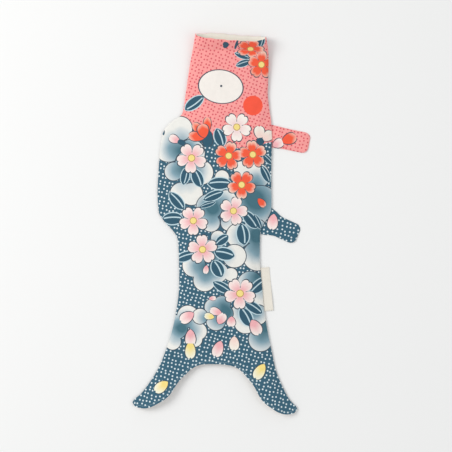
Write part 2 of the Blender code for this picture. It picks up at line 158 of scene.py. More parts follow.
def resampled(points, shares):
    """Points at these shares of a smooth curve's length through given points."""
    points = np.array(points, float)
    padded = np.vstack([2 * points[0] - points[1], points, 2 * points[-1] - points[-2]])
    fine = []
    for a, b, c, d in zip(padded, padded[1:], padded[2:], padded[3:]):
        bend, twist = 2 * a - 5 * b + 4 * c - d, 3 * b - a - 3 * c + d
        for t in np.linspace(0, 1, 12, endpoint=False):
            fine.append(0.5 * (2 * b + (c - a) * t + bend * t**2 + twist * t**3))
    fine = np.array(fine + [points[-1]])
    run = np.concatenate([[0], np.cumsum(np.linalg.norm(np.diff(fine, axis=0), axis=1))])
    run /= run[-1]
    return np.stack([np.interp(shares, run, fine[:, k]) for k in range(fine.shape[1])], axis=1)


def nearest_on(line, points):
    """For each point, the distance to a polyline and the length along it of the nearest place."""
    line, points = np.array(line, float), np.array(points, float)
    run = np.concatenate([[0], np.cumsum(np.linalg.norm(np.diff(line, axis=0), axis=1))])
    best, along = np.full(len(points), 1e9), np.zeros(len(points))
    for a, b, start in zip(line, line[1:], run):
        d = b - a
        t = np.clip(((points - a) @ d) / max(d @ d, 1e-12), 0, 1)
        gap = np.linalg.norm(points - (a + t[:, None] * d), axis=1)
        nearer = gap < best
        best[nearer], along[nearer] = gap[nearer], (start + t * math.sqrt(d @ d))[nearer]
    return best, along


# ------------------------------------------------------------------------------------------ settings


def paint(code):
    """A linear colour from a screen colour's hex code."""
    channels = [int(code[k : k + 2], 16) / 255 for k in (0, 2, 4)]
    return tuple(c / 12.92 if c <= 0.04045 else ((c + 0.055) / 1.055) ** 2.4 for c in channels)


def colour(name, description, code):
    return FloatVectorProperty(
        name=name, description=description, size=3, subtype="COLOR", min=0, max=1, default=paint(code)
    )


def length(name, description, default):
    return FloatProperty(name=name, description=description, unit="LENGTH", default=default * MM)


class StreamerClothSettings(bpy.types.PropertyGroup):
    """The panels' cotton and how it lies"""

    ply: length("Cloth", "Thickness of the cotton", 0.35)
    loft: FloatProperty(name="Loft", description="Air pressed between the panels", default=1.2, min=0.0)
    pucker: length("Pucker", "Height of the gathers along the seams", 0.42)
    ripple: length("Ripple", "Height of the soft waves in the panels", 0.7)
    columns: IntProperty(name="Columns", description="Cells across the body", default=44, min=16)
    hem: length("Hem", "Depth of the turned hem at the tail", 5.0)


class StreamerPrintSettings(bpy.types.PropertyGroup):
    """Colours of the print, the tapes and the thread"""

    coral: colour("Coral", "Ground of the head", "fba39f")
    coral_dot: colour("Coral dot", "Dots on the head", "dc5a66")
    blue: colour("Blue", "Ground of the body", "3a6377")
    blue_dot: colour("Blue dot", "Dots on the body", "dfebee")
    leaf: colour("Leaf", "Leaves", "335a6e")
    leaf_line: colour("Leaf line", "Outline and rib of a leaf", "c3dbe2")
    ink: colour("Ink", "Fine outlines", "414f5c")
    cloud_pale: colour("Cloud edge", "Outer part of the clouded blossoms", "ecebe5")
    cloud_soft: colour("Cloud rim", "Between the edge and the middle of a clouded blossom", "c9d3d6")
    cloud_mid: colour("Cloud middle", "Middle of a clouded blossom", "86a5b2")
    cloud_deep: colour("Cloud heart", "Inner part of the clouded blossoms", "47717f")
    pink_deep: colour("Pink heart", "Inner part of a pink petal", "f3b4b8")
    pink_pale: colour("Pink edge", "Outer part of a pink petal", "f9ece6")
    red: colour("Red", "Red blossoms", "f65f42")
    red_pale: colour("Red edge", "Tips of a red blossom", "f8d9c6")
    yellow: colour("Yellow", "Hearts and yellow petals", "f8e08a")
    gold: colour("Gold", "Ring round a blossom's heart", "b99a55")
    white: colour("White", "The eye", "f5efe8")
    cheek: colour("Cheek", "The round cheek", "fb5c44")
    ivory: colour("Ivory", "Facing of the mouth and the label", "ece6da")
    reverse: colour("Reverse", "Unprinted side of the cloth", "eadfd6")
    thread: colour("Thread", "Sewing thread", "e7a7a2")


class StreamerFinSettings(bpy.types.PropertyGroup):
    """The two fins"""

    puff: length("Puff", "Height of a fin's middle over its edge", 1.3)
    root: length("Root", "Stretch of a fin that bends when it flaps", 7.0)
    tuck: length("Tuck", "How far a fin reaches into the seam", 3.0)


class StreamerStageSettings(bpy.types.PropertyGroup):
    """The table, the light and the camera"""

    distance: length("Camera height", "Camera over the table", 2000.0)
    view_width: length("View width", "Width of the table in view", 600.3)
    lean: FloatProperty(
        name="Lean", description="Turn of the camera", subtype="ANGLE", default=math.radians(2.4)
    )
    floor: colour("Table", "The table top", "f4f4f3")
    key: FloatProperty(name="Key light", description="Strength of the soft light", default=22.5, min=0.0)
    fill: FloatProperty(name="Fill light", description="Strength of the room's light", default=0.65, min=0.0)


# -------------------------------------------------------------------------------------- shader maths


class Value:
    """A socket of a material. Sums on values add the Math nodes that work them out."""

    def __init__(self, drawing, socket):
        self.drawing, self.socket = drawing, socket

    def math(self, operation, *others):
        return self.drawing.node("ShaderNodeMath", {"operation": operation}, self, *others)

    def times_plus(self, factor, term):
        return self.math("MULTIPLY_ADD", factor, term)

    def __add__(self, other):
        return self.math("ADD", other)

    def __sub__(self, other):
        return self.math("SUBTRACT", other)

    def __rsub__(self, other):
        return self.drawing.node("ShaderNodeMath", {"operation": "SUBTRACT"}, other, self)

    def __mul__(self, other):
        return self.math("MULTIPLY", other)

    def __truediv__(self, other):
        return self.math("DIVIDE", other)

    def __lt__(self, other):
        return self.math("LESS_THAN", other)

    def __gt__(self, other):
        return self.math("GREATER_THAN", other)

    def __abs__(self):
        return self.math("ABSOLUTE")

    __radd__, __rmul__ = __add__, __mul__

    def least(self, other):
        return self.math("MINIMUM", other)

    def most(self, other):
        return self.math("MAXIMUM", other)

    def between(self, low, high):
        """0 below low, 1 above high, and even in between."""
        return self.drawing.node("ShaderNodeMapRange", {"clamp": True}, self, low, high)


class Drawing:
    """The nodes of one material."""

    def __init__(self, name):
        self.material = bpy.data.materials.new(name)
        self.material.use_nodes = True
        self.tree = self.material.node_tree
        self.shader = self.tree.nodes["Principled BSDF"]

    def node(self, kind, settings, *values, out=0, **named):
        """Adds a node: its settings, then its sockets in order or by name, as values, numbers or colours."""
        made = self.tree.nodes.new(kind)
        for key, value in settings.items():
            if key == "curve":
                points = made.mapping.curves[0].points
                for place, height in value[1:-1]:
                    points.new(place, height)
                points[0].location, points[-1].location = value[0], value[-1]
                made.mapping.update()
            elif key == "ramp":
                stops = made.color_ramp.elements
                while len(stops) < len(value):
                    stops.new(0.5)
                for stop, (place, shade) in zip(stops, value):
                    stop.position, stop.color = place, (*shade, 1.0)
            else:
                setattr(made, key, value)
        for key, value in [*enumerate(values), *named.items()]:
            self.fill(made.inputs[key], value)
        return Value(self, made.outputs[out])

    def fill(self, socket, value):
        """Links a value to a socket, or sets a plain number or colour on it."""
        if isinstance(value, Value):
            self.tree.links.new(value.socket, socket)
        elif socket.type == "RGBA":
            socket.default_value = (*value, 1.0)[:4]
        else:
            socket.default_value = value

    def mixed(self, kind, sockets, out):
        """A Mix node of this kind, with its sockets by number, because several have the same name."""
        made = self.tree.nodes.new("ShaderNodeMix")
        made.data_type = kind
        for number, value in sockets.items():
            self.fill(made.inputs[number], value)
        return Value(self, made.outputs[out])

    def over(self, factor, below, above):
        """The colour above where factor is 1, and the one below where it is 0."""
        return self.mixed("RGBA", {0: factor, 6: below, 7: above}, 2)

    def either(self, factor, first, second):
        """The second value where factor is 1, else the first."""
        return self.mixed("FLOAT", {0: factor, 2: first, 3: second}, 0)

    def curve(self, value, points):
        return self.node("ShaderNodeFloatCurve", {"curve": points}, 1.0, value)

    def split(self, vector):
        made = self.tree.nodes.new("ShaderNodeSeparateXYZ")
        self.tree.links.new(vector.socket, made.inputs[0])
        return [Value(self, s) for s in made.outputs]

    def finish(self, **sockets):
        for name, value in sockets.items():
            self.fill(self.shader.inputs[name.replace("_", " ")], value)
        return self.material

    def layer(self, name):
        """A UV layer's place, in millimetres."""
        where = self.node("ShaderNodeUVMap", {"uv_map": name})
        return self.node("ShaderNodeVectorMath", {"operation": "SCALE"}, where, Scale=1000.0)

    def cut(self):
        """Reads the place on the cut cloth."""
        less = {"operation": "SUBTRACT"}
        self.place = self.node("ShaderNodeVectorMath", less, self.layer("cut"), PRINT_SHIFT)
        self.x, self.y, _ = self.split(self.place)

    # Motifs: each is (x, y, half length, half width, turn in degrees, kind)

    def within(self, x, y, long, wide, turn):
        """The place in a motif's own frame, where its ends are at -1 and 1."""
        c, s = math.cos(math.radians(turn)), math.sin(math.radians(turn))
        along = self.x.times_plus(c / long, self.y.times_plus(s / long, -(x * c + y * s) / long))
        across = self.x.times_plus(-s / wide, self.y.times_plus(c / wide, (x * s - y * c) / wide))
        return along, across

    def nearest(self, motifs):
        """The place in the frame of the motif that each point lies deepest in, and that motif's kind."""
        best = held = None
        for *where, kind in motifs:
            along, across = self.within(*where)
            reach = along.times_plus(along, across * across)
            if best is None:
                best, held = reach, (along, across, kind)
            else:
                nearer = reach < best
                held = [self.either(nearer, a, b) for a, b in zip(held, (along, across, kind))]
                best = best.least(reach)
        return held

    def petals(self, x, y, profile):
        """Distance from the heart, the petals' edge there, and how far round it is from a petal's side."""
        reach = x.times_plus(x, y * y).math("SQRT")
        turn = y.math("ARCTAN2", x) * (5 / math.tau) + 5.0
        off_rib = 1.0 - abs(turn.math("FRACT") - 0.5) * 2.0
        return reach, self.curve(off_rib, profile), off_rib


PRINT_SHIFT = (0.0, -1.1, 0.0)  # the panels are cut a little high on the print

# Outlines: a blossom's reach from the gap to the middle of a petal, a leaf's and a petal's width along them
BLOSSOM_EDGE = [
    (0, 0.9), (0.09, 0.975), (0.3, 1), (0.52, 0.95), (0.72, 0.85), (0.87, 0.7), (0.96, 0.5), (1, 0.4),
]  # fmt: skip
LEAF_EDGE = [(0, 0), (0.08, 0.42), (0.22, 0.78), (0.45, 1), (0.7, 0.93), (0.9, 0.55), (1, 0)]
PETAL_EDGE = [
    (0, 0), (0.08, 0.36), (0.24, 0.72), (0.5, 0.97), (0.66, 1), (0.84, 0.86), (0.95, 0.58), (1, 0.3),
]  # fmt: skip

# Blossoms, with the kind 1 for pink, 2 for white and 3 for red
BLOSSOMS = [
    (25.6, 230, 19, 11.6, 0, 3), (41, 210.8, 18.8, 18.8, 91, 3), (2.5, 88.5, 19.5, 19.5, 78, 3),
    (34.2, 91.6, 19.5, 19.5, 98, 3), (21.2, 51, 19.6, 19.6, -88, 3), (11.8, 127, 20, 20, -88, 2),
    (-46.2, 83.6, 20.8, 20.8, -92, 1), (-40.3, 1, 20, 20, -88, 1), (-26.4, -36.5, 20.4, 20.4, 96, 1),
    (11.8, 16, 19.6, 19.6, 74, 1), (25, -92.6, 21.4, 21.4, -90, 1),
]  # fmt: skip
# Leaves, each from one end to the other, and half its width
LEAVES = [
    (-33, 166.5, -58, 147, 8), (4.5, 224.2, 25.5, 218.4, 4.2), (7, 207.5, 26.5, 215, 4.8),
    (-15, 124.5, -5, 100.5, 8.2), (-51.5, 72, -55.5, 47.5, 6.4), (-43, 70, -31.5, 45.5, 8.2),
    (-24, 50.5, 7.5, 52.5, 8.8), (-29, 28.5, -2, 41, 6.6), (-33.5, 19, -12, 27, 3.8),
    (-74, 37.5, -53, 15.5, 7.8), (-82.5, 1.5, -54, 3.5, 8.8), (-62, -52, -36, -42, 7),
    (-10, -29.5, 6.5, -16.5, 6.8), (-11.5, -38.5, 16, -43.5, 9), (-12, -50, 0.5, -72, 9),
    (-11.5, -78.5, 13, -91.5, 6.6), (22.5, 0.5, 28, -28.5, 9.2), (24, 17, 44.5, -5.5, 8),
    (39.5, 13, 50, -6.5, 4.6), (45.5, 78, 58.5, 55.5, 5.8), (47, 93, 62, 80, 4.6),
    (38, -91.5, 61, -72, 8.4), (30.5, -102.5, 56, -118, 7.2), (26.5, -110.5, 41.5, -135.5, 8.8),
    (41, 249.5, 38, 232.5, 4.8),
]  # fmt: skip
# Loose petals and buds: point, blunt end, half width and kind: 1 pink, 2 yellow, 3 cream, 4 red, 5 calyx
PETALS = [
    (-34, -120.5, -52, -133, 8.2, 1), (2.5, -120, -13.5, -115.5, 5.8, 1), (-7, -125.5, -20.5, -123.5, 5, 2),
    (-1.5, -134.5, 5, -119.5, 7.4, 1), (15.5, -123, 15, -137, 6.6, 1), (41.5, -126.5, 53, -146, 8.8, 1),
    (-38, -142, -37, -165, 8, 1), (-37.5, -158, -36.5, -182, 7.8, 2), (3, -156, -4, -178, 8, 1),
    (20, -149, 20.5, -168.5, 7.5, 3), (61.5, -184.5, 49.5, -205, 8, 2), (-64, -213.5, -81, -227.5, 7.8, 2),
    (-15.5, -101, -6, -100, 3.4, 1), (-20, -57, -21.5, -68.5, 4.2, 1), (43.5, 34, 53.5, 23.5, 5.2, 4),
    (-62.5, 104.5, -77, 111, 6.2, 1), (42.5, 112, 41.5, 130, 8, 3), (46.5, 111, 59.5, 122.5, 7.6, 3),
    (-3, 234.5, -11, 232.5, 3.6, 5), (-68, 106.5, -55, 102, 3.6, 5), (44.5, 103.5, 43, 116, 5.6, 5),
    (-25, 122, -26.5, 99, 7.6, 5), (9, 241.5, 5, 229, 1.6, 5), (-84.5, 112.5, -86, 120.5, 2.2, 5),
    (66, 15, 63.8, -6.5, 8, 1),
]  # fmt: skip
# The half-open blossom, each petal over the last
HALF_OPEN = [
    (-30, 114, -46, 129.5, 6.4, 4), (-27, 117, -27.5, 138.5, 5.9, 4), (-29.5, 111, -51.5, 113.5, 7.1, 4),
    (-30, 110.5, -34.5, 129, 8.6, 4),
]  # fmt: skip
# Clouded blossoms in the order they are laid: heart, reach of the fade, and each round lobe as (x, y, radius)
CLOUDS = [
    ((-58, 92), 31, [(-63, 122, 17), (-77, 97, 20.5), (-77, 110, 20), (-47, 90, 19)]),
    ((-54, 70), 32, [(-69, 65, 13), (-33, 65, 17), (-54, 78, 14), (-58, 36, 15.5), (-44, 36, 15.5)]),
    ((38, 46), 27, [(-5, 60, 10), (20, 72, 11), (42, 64, 17)]),
    ((36, 36), 46, [(47, 24, 28)]),
    ((-14, 18), 32, [(-20, 20, 18), (-17, -1, 12.5), (6, 0, 11), (2, 30, 14)]),
    ((44, -18), 36, [(20, -16, 17), (46, -42, 20.5), (42, -10, 18)]),
    ((-14, -42), 30, [(-7, -20, 10), (15.5, -43.5, 16), (-14, -38, 16)]),
    ((-19, -60), 30, [(-37, -58, 16), (-22, -77, 15.5), (-5, -66, 14), (12, -68, 9.5)]),
    ((50, -68), 32, [(38, -80, 18), (54, -96, 14)]),
    ((60, -134), 40, [(55, -152, 17), (62, -134, 16)]),
    ((40, -110), 27, [(26, -120, 13.5), (34, -130, 16), (50, -120, 14)]),
    ((8, -117), 36, [(-9, -112, 12.5), (2, -108, 12), (-5, -130, 13.5), (6, -120, 12)]),
    ((-48, -142), 27, [
        (-42, -126, 15.5), (-58, -141, 17), (-61, -160, 12), (-28, -145, 12.5), (-32, -156, 11),
    ]),
    ((-12, -128), 20, [(-26, -125, 11)]),
]  # fmt: skip
# Where the coral head gives way to the blue body
GROUND_LINE = [
    (-100, 150), (-72, 146), (-48, 124), (-27, 118), (-10, 103), (18, 99), (39, 100), (52, 108), (100, 108),
]  # fmt: skip


def between_ends(motifs):
    """Motifs given by their two ends, as centre, half length, half width and turn."""
    laid = []
    for x0, y0, x1, y1, wide, *kind in motifs:
        long = math.hypot(x1 - x0, y1 - y0) / 2
        turn = math.degrees(math.atan2(y1 - y0, x1 - x0))
        laid.append(((x0 + x1) / 2, (y0 + y1) / 2, long, wide, turn, kind[0] if kind else 1))
    return laid


def lay_dots(d, ground, dot, spacing, radius, turn):
    shift, angle = (7.3, 3.1, 0), (0, 0, turn)
    turned = d.node("ShaderNodeMapping", {"vector_type": "POINT"}, d.place, shift, angle, (1, 1, 1))
    cells = {"voronoi_dimensions": "2D", "feature": "F1"}
    gap = d.node("ShaderNodeTexVoronoi", cells, Vector=turned, Scale=1 / spacing, Randomness=0.42)
    soft = gap.between(radius * 1.15 / spacing, radius * 0.85 / spacing)
    return d.over(soft, ground, dot)


def lay_leaves(d, below, leaves, look):
    x, y, _ = d.nearest(between_ends(leaves))
    depth = d.curve(x * 0.5 + 0.5, LEAF_EDGE) - abs(y)
    inside = (depth > 0.0) * (abs(x) < 1.0)
    rib = abs(y - (1.0 - x * x) * 0.22) < 0.1
    pale = (depth < 0.17).most(rib * (abs(x) < 0.8))
    return d.over(inside, below, d.over(pale, look.leaf, look.leaf_line))


def lay_petals(d, below, petals, look):
    x, y, kind = d.nearest(between_ends(petals))
    along = x * 0.5 + 0.5
    notch = (x > 0.84) * (abs(y) < (x - 0.84) * 1.1)
    depth = d.curve(along, PETAL_EDGE) - abs(y)
    inside = (depth > 0.0) * (abs(x) < 1.0) * (1.0 - notch)
    fade = (along + abs(y) * 0.3).between(0.42, 1.0)
    pink = d.over(fade, look.pink_deep, look.pink_pale)
    yellow = d.over(fade, look.yellow, paint("f4f2dc"))
    cream = d.over(fade, paint("f7dcd2"), paint("f6f0e4"))
    red = d.over((along + abs(y) * 0.3).between(0.76, 1.22), look.red, look.red_pale)
    shade = d.over(kind > 1.5, pink, yellow)
    shade = d.over(kind > 2.5, shade, cream)
    shade = d.over(kind > 3.5, shade, red)
    shade = d.over(kind > 4.5, shade, look.leaf)
    shade = d.over(depth < 0.15, shade, look.ink)
    return d.over(inside, below, shade)


def lay_blossoms(d, below, blossoms, look):
    x, y, kind = d.nearest(blossoms)
    reach, edge, off_rib = d.petals(x, y, BLOSSOM_EDGE)
    share = reach / edge
    pink = d.over(share.between(0.3, 0.92), look.pink_deep, look.pink_pale)
    white = d.over(share.between(0.2, 0.75), paint("f5d6d6"), paint("f8f0e8"))
    lopsided = (share + x * 0.07 - y * 0.06).between(0.64, 1.0)
    red = d.over(lopsided, look.red, look.red_pale)
    shade = d.over(kind > 1.5, pink, white)
    shade = d.over(kind > 2.5, shade, red)
    between = (off_rib > 0.93) * (reach > 0.34)
    shade = d.over(((edge - reach) < 0.07).most(between), shade, look.ink)
    shade = d.over(reach < 0.235, shade, look.gold)
    shade = d.over(reach < 0.19, shade, look.yellow)
    return d.over(reach < edge, below, shade)


CLOUD_STOPS = (0.1, 0.42, 0.7, 0.95)  # from a clouded blossom's heart to its edge


def lay_clouds(d, below, clouds, look):
    for heart, reach, lobes in clouds:
        depth = None
        for x, y, radius in lobes:
            along, across = d.within(x, y, radius, radius, 0)
            inward = (1.0 - along.times_plus(along, across * across).math("SQRT")) * radius
            depth = inward if depth is None else depth.most(inward)
        along, across = d.within(*heart, reach, reach, 0)
        fade = along.times_plus(along, across * across).math("SQRT") - depth * 0.012
        tones = (look.cloud_deep, look.cloud_mid, look.cloud_soft, look.cloud_pale)
        shade = d.node("ShaderNodeValToRGB", {"ramp": [*zip(CLOUD_STOPS, map(tuple, tones))]}, fade)
        below = d.over(depth > 0.0, below, d.over(depth < 1.1, shade, look.ink))
    return below


def lay_face(d, below, look):
    def oval(*where):
        along, across = d.within(*where)
        return along.times_plus(along, across * across)

    eye = oval(-11.5, 179.6, 30.4, 22.6, -5.6)
    below = d.over(eye < 1.0, below, look.ink)
    below = d.over(eye < 0.9, below, look.white)
    below = d.over(oval(-11.0, 180.5, 1.5, 1.5, 0) < 1.0, below, look.ink)
    return d.over(oval(32.0, 156.6, 13.0, 13.0, 0) < 1.0, below, look.cheek)


def cloth_finish(d, shade, edge=None):
    """Weave, nap and a little unevenness of dye on a printed or plain cotton."""
    warp = (d.x * (math.tau / 0.46)).math("SINE")
    weft = (d.y * (math.tau / 0.5)).math("SINE")
    weave = warp * weft
    slub = d.node("ShaderNodeTexNoise", {"noise_dimensions": "2D"}, Vector=d.place, Scale=0.16, Detail=4.0)
    soft = d.node("ShaderNodeTexNoise", {"noise_dimensions": "2D"}, Vector=d.place, Scale=0.9, Detail=3.0)
    tone = (slub - 0.5) * 0.09 + (soft - 0.5) * 0.06 + weave * 0.012 + 1.0
    shade = d.node("ShaderNodeVectorMath", {"operation": "SCALE"}, shade, Scale=tone)
    height = weave * 0.00005 + soft * 0.00012
    if edge is not None:
        height = height + edge
    bump = d.node("ShaderNodeBump", {}, Strength=0.55, Distance=1.0, Height=height)
    return d.finish(
        Base_Color=shade,
        Roughness=0.86 + (slub - 0.5) * 0.08,
        Normal=bump,
        Sheen_Weight=0.12,
        Sheen_Roughness=0.45,
        Specular_IOR_Level=0.25,
    )


def hem_line(d, shade, thread, depth=3.0):
    """A row of stitches along the hem, and the height of the cloth turned under it."""
    along, away, _ = d.split(d.layer("hem"))
    dash = (along / 3.1).math("FRACT") < 0.74
    row = abs(away - depth) < 0.24
    stitch = row * dash
    fold = away.between(5.4, 4.6) * 0.00035
    height = fold + stitch * 0.0002 - abs(away - depth).between(0.9, 0.0) * 0.00018
    return d.over(stitch, shade, thread), height


def body_print(look):
    d = Drawing("printed_cotton")
    d.cut()
    coral = lay_dots(d, look.coral, look.coral_dot, 4.8, 1.1, 0.35)
    blue = lay_dots(d, look.blue, look.blue_dot, 5.15, 1.1, 0.2)
    line = d.curve(d.x / 200 + 0.5, [(x / 200 + 0.5, y / 200) for x, y in GROUND_LINE]) * 200.0
    shade = d.over(d.y > line, blue, coral)
    shade = lay_clouds(d, shade, CLOUDS, look)
    shade = lay_leaves(d, shade, LEAVES, look)
    shade = lay_petals(d, shade, PETALS, look)
    shade = lay_blossoms(d, shade, BLOSSOMS, look)
    for petal in HALF_OPEN:
        shade = lay_petals(d, shade, [petal], look)
    shade = lay_face(d, shade, look)
    shade, edge = hem_line(d, shade, paint("8fa3ad"))
    return cloth_finish(d, shade, edge)


def fin_print(name, look, ground, dot, spacing, radius, petals):
    d = Drawing(name)
    d.cut()
    shade = lay_dots(d, ground, dot, spacing, radius, 0.2)
    return cloth_finish(d, lay_petals(d, shade, petals, look))


def plain_cloth(name, shade):
    d = Drawing(name)
    d.cut()
    return cloth_finish(d, shade)


def label_cloth(look):
    """A plain woven tape: no lettering, with a firmer thread along each selvedge."""
    d = Drawing("label_tape")
    d.cut()
    along, away, _ = d.split(d.layer("hem"))
    selvedge = abs(away - 0.9) < 0.28
    rib = (along * (math.tau / 0.7)).math("SINE")
    shade = d.over(selvedge * 0.5, tuple(look.ivory), paint("d8d0c0"))
    return cloth_finish(d, shade, rib * 0.00004)


def thread_finish(name, shade):
    d = Drawing(name)
    where = d.node("ShaderNodeTexCoord", {}, out=3)
    slant = {"bands_direction": "DIAGONAL"}
    # painted shade: darker diagonal bands where the grooves between the thread's twisted plies would be in
    # shadow
    twist = d.node("ShaderNodeTexWave", slant, Vector=where, Scale=900.0, Distortion=1.5)
    shade = d.over(twist * 0.25, tuple(shade), tuple(c * 0.7 for c in shade))
    return d.finish(Base_Color=shade, Roughness=0.6, Sheen_Weight=0.2)


def metal_finish(name, shade):
    d = Drawing(name)
    where = d.node("ShaderNodeTexCoord", {}, out=3)
    grain = d.node("ShaderNodeTexNoise", {}, Vector=where, Scale=600.0, Detail=3.0)
    tone = d.over(grain, shade, tuple(c * 0.75 for c in shade))
    return d.finish(Base_Color=tone, Metallic=1.0, Roughness=0.28 + grain * 0.15)


# --------------------------------------------------------------------------------------------- cloth


def mesh_object(name, points, faces, materials, uv=None):
    """A smooth mesh object. uv maps a layer's name to a place for each vertex."""
    mesh = bpy.data.meshes.new(name)
    mesh.from_pydata([tuple(p) for p in points], [], faces)
    mesh.validate()
    for material in materials:
        mesh.materials.append(material)
    for layer_name, places in (uv or {}).items():
        layer = mesh.uv_layers.new(name=layer_name)
        corners = np.zeros(len(mesh.loops), np.int32)
        mesh.loops.foreach_get("vertex_index", corners)
        layer.data.foreach_set("uv", np.array(places, np.float32)[corners].ravel())
    mesh.shade_smooth()
    made = bpy.data.objects.new(name, mesh)
    bpy.context.scene.collection.objects.link(made)
    return made


def shell(made, thickness, inner=1, offset=-1.0, fullness=None):
    """Gives a sheet its thickness. Fullness, 0 to 1 at each vertex, flattens it where it is sewn."""
    solid = made.modifiers.new("ply", "SOLIDIFY")
    solid.thickness, solid.offset = thickness, offset
    solid.material_offset = inner
    if fullness is not None:
        full = made.vertex_groups.new(name="full_cloth")
        for share in np.unique(fullness):
            full.add(np.flatnonzero(fullness == share).tolist(), float(share), "REPLACE")
        solid.vertex_group, solid.thickness_vertex_group = full.name, 0.05
    return made


def quads_of(grid, flipped=False):
    """The faces between a grid's vertices."""
    a, b, c, d = grid[:-1, :-1], grid[:-1, 1:], grid[1:, 1:], grid[1:, :-1]
    quads = np.stack([a, b, c, d], axis=-1).reshape(-1, 4)
    return quads[:, ::-1] if flipped else quads


def vertex_normals(points, quads):
    normals = np.zeros_like(points)
    a, b, c, d = (points[quads[:, k]] for k in range(4))
    facing = np.cross(c - a, d - b)
    for k in range(4):
        np.add.at(normals, quads[:, k], facing)
    return normals / np.maximum(np.linalg.norm(normals, axis=1, keepdims=True), 1e-12)


def evened(grid):
    """Evens out a grid of points inside its border, so that no cell folds over where the border is hollow."""
    for _ in range(400):
        up, right = (grid[2:, 1:-1] - grid[:-2, 1:-1]) / 2, (grid[1:-1, 2:] - grid[1:-1, :-2]) / 2
        pairs = (up, up), (right, right), (up, right)
        tall, wide, lean = ((p * q).sum(-1, keepdims=True) for p, q in pairs)
        cross = (grid[2:, 2:] - grid[2:, :-2] - grid[:-2, 2:] + grid[:-2, :-2]) / 4
        across, along = grid[1:-1, 2:] + grid[1:-1, :-2], grid[2:, 1:-1] + grid[:-2, 1:-1]
        grid[1:-1, 1:-1] = (tall * across + wide * along - 2 * lean * cross) / (2 * (tall + wide))
    return grid


def tube_rows(columns):
    """The upper and the lower panel's points, in rows from the tail's hem to the casing."""
    shares = np.linspace(0, 1, columns + 1)
    half = [(TAIL_TIP[k][1], TAIL_TIP[k][0]) for k in (3, 2, 1)] + ARCH_POINTS
    hem = resampled([(-x, y) for x, y in half] + half[-2::-1], shares)
    start, end = dorsal(STEM_END), belly(STEM_END)
    top = np.stack([start + shares * (end - start), np.full(columns + 1, STEM_END)], 1)
    tail_rows = 22
    ys = np.linspace(TAIL_TIP[3][0], STEM_END, tail_rows + 1)
    left = np.array([(dorsal(y), y) for y in ys])
    right = np.array([(belly(y), y) for y in ys])
    rows = []
    for k in range(tail_rows):
        v, u = k / tail_rows, shares[:, None]
        flat = (1 - v) * hem + v * top + (1 - u) * left[k] + u * right[k]
        flat -= (1 - u) * ((1 - v) * hem[0] + v * top[0]) + u * ((1 - v) * hem[-1] + v * top[-1])
        rows.append(flat)
    upper, lower = [], []
    for flat in evened(np.array(rows + [top]))[:-1]:
        rise = [(bulge(2 * s - 1)) for s in shares]
        crest = [smooth(CREST, y) for _, y in flat]
        upper.append([(x, y, SEAM_HALF + (SEAM_HALF + c) * r) for (x, y), r, c in zip(flat, rise, crest)])
        lower.append([(x, y, SEAM_HALF * (1 - min(1, FLAT_SHARE * r))) for (x, y), r in zip(flat, rise)])
    upper = [np.array(r) + np.array(OFFSET) for r in upper]
    lower = [np.array(r) + np.array(OFFSET) for r in lower]
    for y in np.linspace(STEM_END, CASING, 91):
        upper.append(np.array([section_point(y, 2 * s - 1, True) for s in shares]))
        lower.append(np.array([section_point(y, 2 * s - 1, False) for s in shares]))
    return np.array(upper) * MM, np.array(lower) * MM


SETTLE_FRAMES = 16
FARTHEST = 7.0 * MM  # that the air moves any point


class Tube:
    """The two panels as one welded grid, so that they can be blown up together."""

    def __init__(self, columns):
        upper, lower = tube_rows(columns)
        self.rows, self.columns = upper.shape[0], columns
        wide = columns + 1
        self.front = np.arange(self.rows * wide).reshape(self.rows, wide)
        inner = np.arange(self.rows * (columns - 1)).reshape(self.rows, columns - 1) + self.rows * wide
        self.back = np.hstack([self.front[:, :1], inner, self.front[:, -1:]])
        self.points = np.vstack([upper.reshape(-1, 3), lower[:, 1:-1].reshape(-1, 3)])
        self.flat = self.points[:, :2].copy()

    def blown_up(self, pressure):
        """Presses air between the panels with a cloth simulation, the casing end held."""
        quads = np.vstack([quads_of(self.front), quads_of(self.back, True)])
        made = mesh_object("panels_in_air", self.points, quads.tolist(), [])
        y = self.points[:, 1] / MM
        held = made.vertex_groups.new(name="held")
        for index, place in enumerate(y):
            weight = min(1.0, max(0.0, (place - 150.0) / 60.0))
            if weight > 0:
                held.add([index], weight, "REPLACE")
        cloth = made.modifiers.new("cloth", "CLOTH")
        air = {"use_pressure": True, "uniform_pressure_force": pressure, "vertex_group_mass": "held"}
        cotton = {"tension_stiffness": 40, "compression_stiffness": 40, "shear_stiffness": 20}
        for name, value in {**air, **cotton, "bending_stiffness": 0.4, "quality": 6}.items():
            setattr(cloth.settings, name, value)
        cloth.settings.effector_weights.gravity = 0.0
        cloth.collision_settings.use_collision = False
        cloth.collision_settings.use_self_collision = False
        cloth.point_cache.frame_start, cloth.point_cache.frame_end = 1, SETTLE_FRAMES
        for frame_number in range(1, SETTLE_FRAMES + 1):
            bpy.context.scene.frame_set(frame_number)
        graph = bpy.context.evaluated_depsgraph_get()
        after = made.evaluated_get(graph).data
        moved = np.zeros(len(self.points) * 3, np.float32)
        after.vertices.foreach_get("co", moved)
        moved = moved.reshape(-1, 3).astype(float)
        bpy.data.objects.remove(made)
        bpy.context.scene.frame_set(1)
        return moved

    def settle(self, moved):
        """Puts the seams back over the pattern's outline, and limits how far any point has moved."""
        shares = np.linspace(0, 1, self.columns + 1)
        change = moved - self.points
        for grid in (self.front, self.back):
            first, last = change[grid[:, 0], :2], change[grid[:, -1], :2]
            drift = first[:, None] * (1 - shares)[None, :, None] + last[:, None] * shares[None, :, None]
            inner = grid[:, 1:-1]
            moved[inner.ravel(), :2] -= drift[:, 1:-1].reshape(-1, 2)
        seams = np.unique(self.front[:, [0, -1]])
        moved[seams, :2] = self.points[seams, :2]
        step = moved - self.points
        far = np.linalg.norm(step, axis=1, keepdims=True)
        return self.points + step * np.minimum(1.0, FARTHEST / np.maximum(far, 1e-9))


